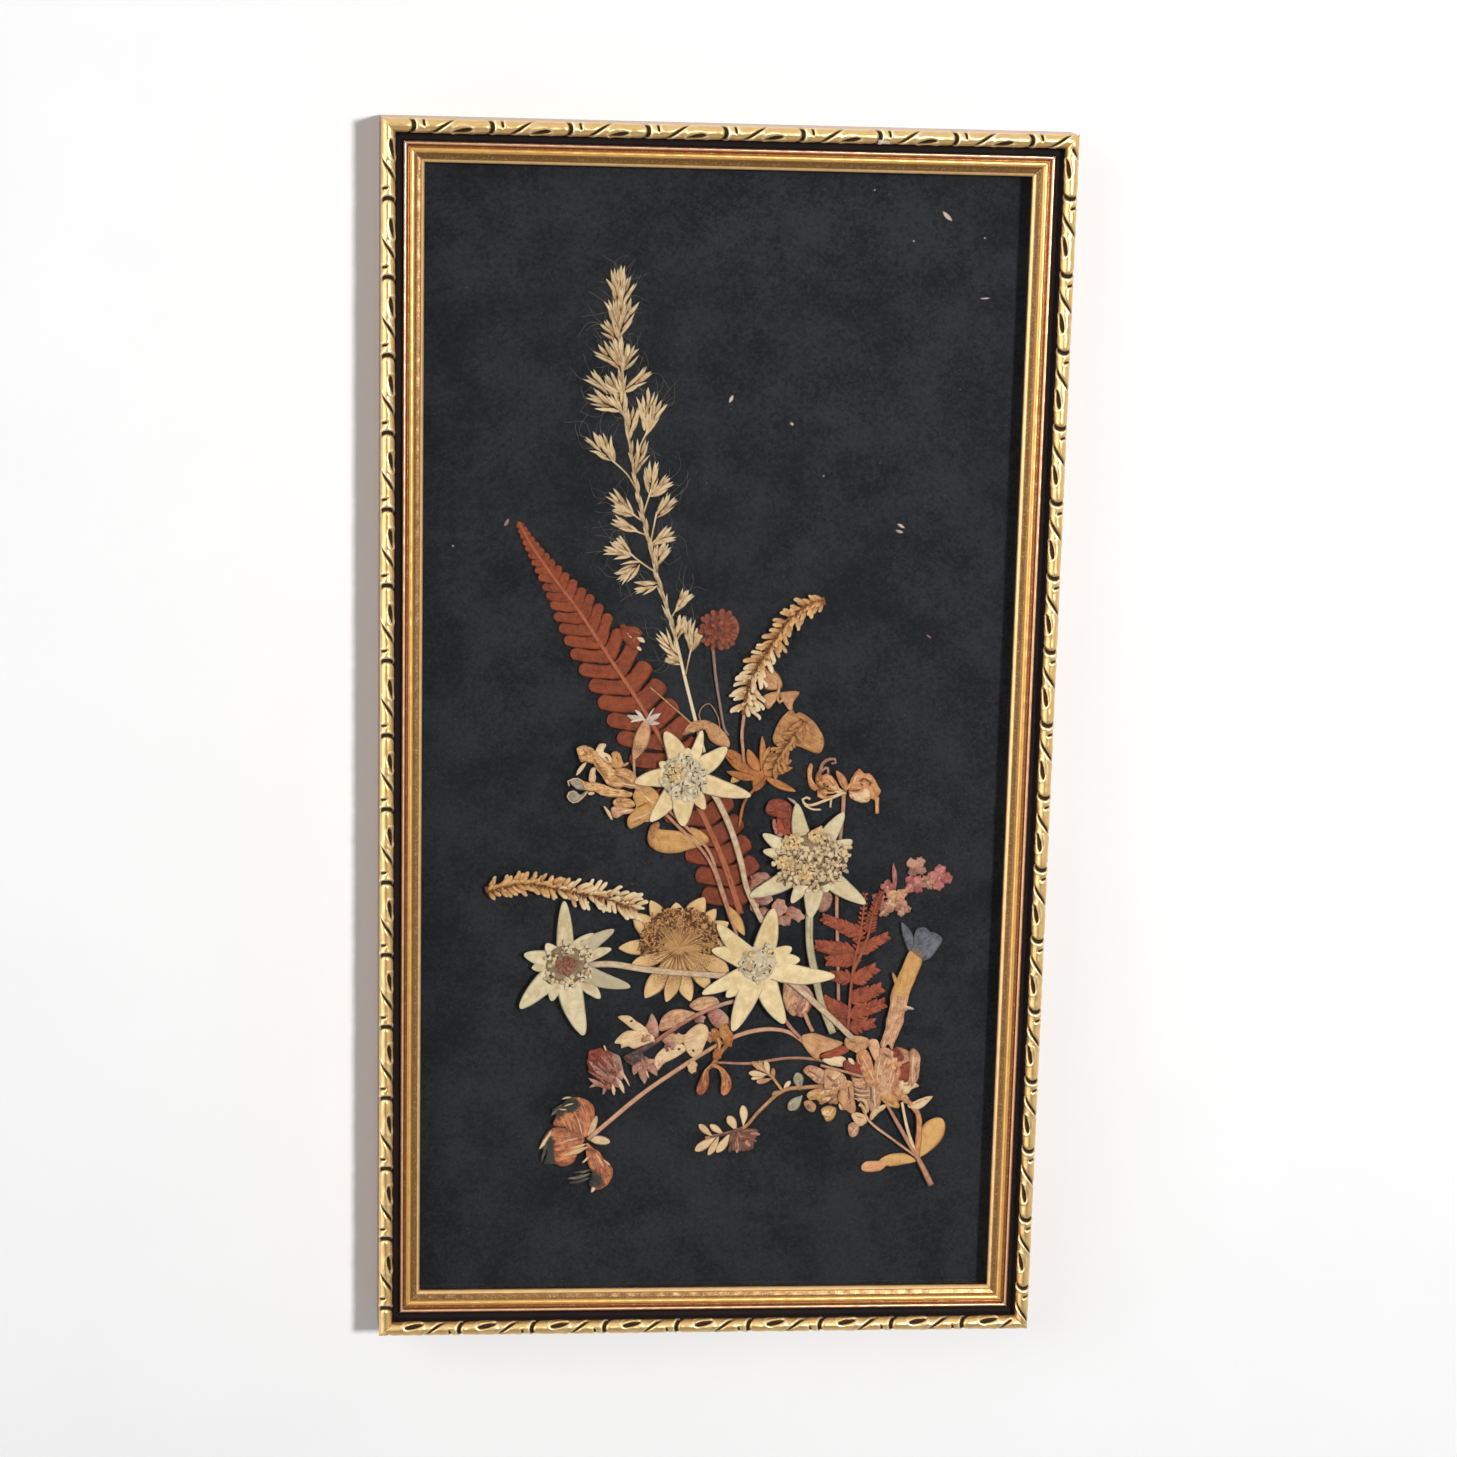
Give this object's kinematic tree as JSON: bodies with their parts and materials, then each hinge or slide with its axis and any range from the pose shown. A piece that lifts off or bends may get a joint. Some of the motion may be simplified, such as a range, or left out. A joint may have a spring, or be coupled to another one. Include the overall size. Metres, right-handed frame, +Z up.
{
  "type": "pressed flower frame",
  "caption": "Narrow upright picture frame in gilded carved moulding, glazed over black card with pressed edelweiss, ferns, grass, spikes and leaves.",
  "frame": {"origin": "the point where the sawtooth hanger sits on its nail, in the plane of the wall, 150 mm above the middle of the picture", "axes": "+Z up along the long rails, +X to the right seen from the front, +Y into the wall; the picture faces -Y"},
  "size_m": [0.2, 0.02, 0.362],
  "materials": {
    "gilded_moulding": "gilded gesso, satin, with a black hollow",
    "clear_glass": "polished",
    "black_card": "matt",
    "backing_board": "raw grey-brown board",
    "steel": "satin",
    "edelweiss_felt": "felted cream hairs",
    "edelweiss_florets": "speckled grey and tan florets",
    "felted_stem": "felted, flattened",
    "straw": "dry straw, silky",
    "russet_fern": "dry frond, matt",
    "clover_red": "dry florets, matt",
    "ochre_spike": "dry florets with cream tips",
    "tan_leaf": "dry leaf with fine veins",
    "pink_tan_leaf": "dry leaf with fine veins",
    "golden_leaf": "dry leaf, slightly see-through",
    "orange_brown_leaf": "dry leaf, matt",
    "rust_petal": "dry petal, browned and charred at the edges",
    "blue_grey_petal": "thin, half see-through"
  },
  "bodies": {
    "root": {"rail_top": "gilded_moulding", "rail_right": "gilded_moulding", "rail_bottom": "gilded_moulding", "rail_left": "gilded_moulding", "glass_pane": "clear_glass", "mount_card": "black_card", "backing_board": "backing_board", "board_point_left_upper": "steel", "board_point_left_lower": "steel", "board_point_right_upper": "steel", "board_point_right_lower": "steel", "sawtooth_hanger": "steel", "edelweiss_top_bracts": "edelweiss_felt", "edelweiss_top_florets": "edelweiss_florets", "edelweiss_top_stem": "felted_stem", "edelweiss_right_bracts": "edelweiss_felt", "edelweiss_right_florets": "edelweiss_florets", "edelweiss_right_stem": "felted_stem", "edelweiss_left_bracts": "edelweiss_felt", "edelweiss_left_florets": "edelweiss_florets", "edelweiss_left_stem": "felted_stem", "edelweiss_centre_bracts": "edelweiss_felt", "edelweiss_centre_florets": "edelweiss_florets", "edelweiss_centre_stem": "felted_stem", "grass_panicle": "straw", "large_fern_frond": "russet_fern", "small_fern_frond": "russet_fern", "upper_flower_spike": "ochre_spike", "left_flower_spike": "ochre_spike", "small_brown_spike": "ochre_spike", "clover_head": "clover_red", "masterwort_bracts": "golden_leaf", "masterwort_umbel": "tan_leaf", "folded_leaf_stalk": "tan_leaf", "heart_shaped_leaf": "golden_leaf", "narrow_leaved_sprig": "orange_brown_leaf", "curved_tan_leaf": "tan_leaf", "white_petalled_pod": "tan_leaf", "left_tan_flower_cluster": "tan_leaf", "golden_oval_leaf": "golden_leaf", "rust_petals": "rust_petal", "tan_flower_cluster": "tan_leaf", "pink_flower_sprig": "clover_red", "straw_tube": "ochre_spike", "blue_grey_petals": "blue_grey_petal", "dusky_petals": "pink_tan_leaf", "pink_petals": "pink_tan_leaf", "leaf_bundle": "pink_tan_leaf", "broad_tan_leaf": "tan_leaf", "oval_leaf_right": "golden_leaf", "oval_leaf_low": "golden_leaf", "charred_flower_petals": "rust_petal", "arched_stem": "pink_tan_leaf", "rust_bud": "rust_petal", "grey_bud": "pink_tan_leaf", "pink_leafy_stem": "pink_tan_leaf", "orange_pods": "orange_brown_leaf", "thin_straw_stem": "pink_tan_leaf", "lower_sprig": "ochre_spike"}
  },
  "joints": []
}
